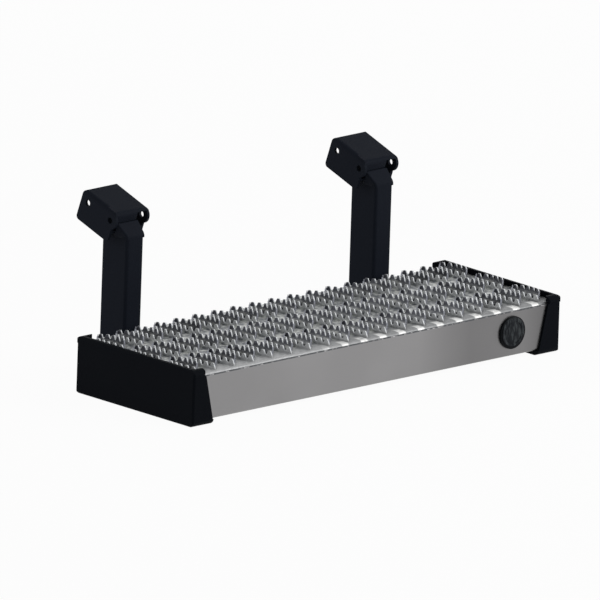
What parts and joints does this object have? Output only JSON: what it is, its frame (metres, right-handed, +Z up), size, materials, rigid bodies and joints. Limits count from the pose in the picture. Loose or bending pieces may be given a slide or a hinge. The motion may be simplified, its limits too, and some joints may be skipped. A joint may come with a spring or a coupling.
{
  "type": "side step",
  "caption": "Short rigid side step with a raised diamond grating tread, bright face plate, black end caps and two tube brackets ending in tilted bolt-on saddles",
  "frame": {"origin": "under the middle of the whole outline, on the plane of the end caps' feet", "axes": "+X along the step to its right-hand end as seen by someone about to step on it, +Y towards the vehicle, +Z up"},
  "size_m": [0.508, 0.2439, 0.1909],
  "materials": {
    "tread": "mill finish pressed sheet with bright lips",
    "face_plate": "satin bright sheet",
    "cap": "black moulded plastic, fine grain",
    "badge": "black moulded plastic, satin",
    "bracket": "blue-black powder coat on steel",
    "pad": "black rubber",
    "fastener": "zinc plated steel"
  },
  "bodies": {
    "root": {"tread_plank": "tread", "front_face_plate": "face_plate", "end_cap_left": "cap", "end_cap_right": "cap", "end_cap_screws": "fastener", "face_plate_rivets": "fastener", "badge": "badge", "badge_push_nuts": "fastener", "support_arm_left": "bracket", "support_arm_right": "bracket", "upright_left": "bracket", "upright_right": "bracket", "seat_plate_left": "bracket", "seat_plate_right": "bracket", "saddle_left": "bracket", "saddle_right": "bracket", "front_pad_left": "pad", "front_pad_right": "pad", "back_pad_left": "pad", "back_pad_right": "pad", "front_arm_bolts": "fastener", "back_arm_bolts": "fastener", "back_bolt_washers": "fastener", "threaded_inserts": "fastener"}
  },
  "joints": []
}
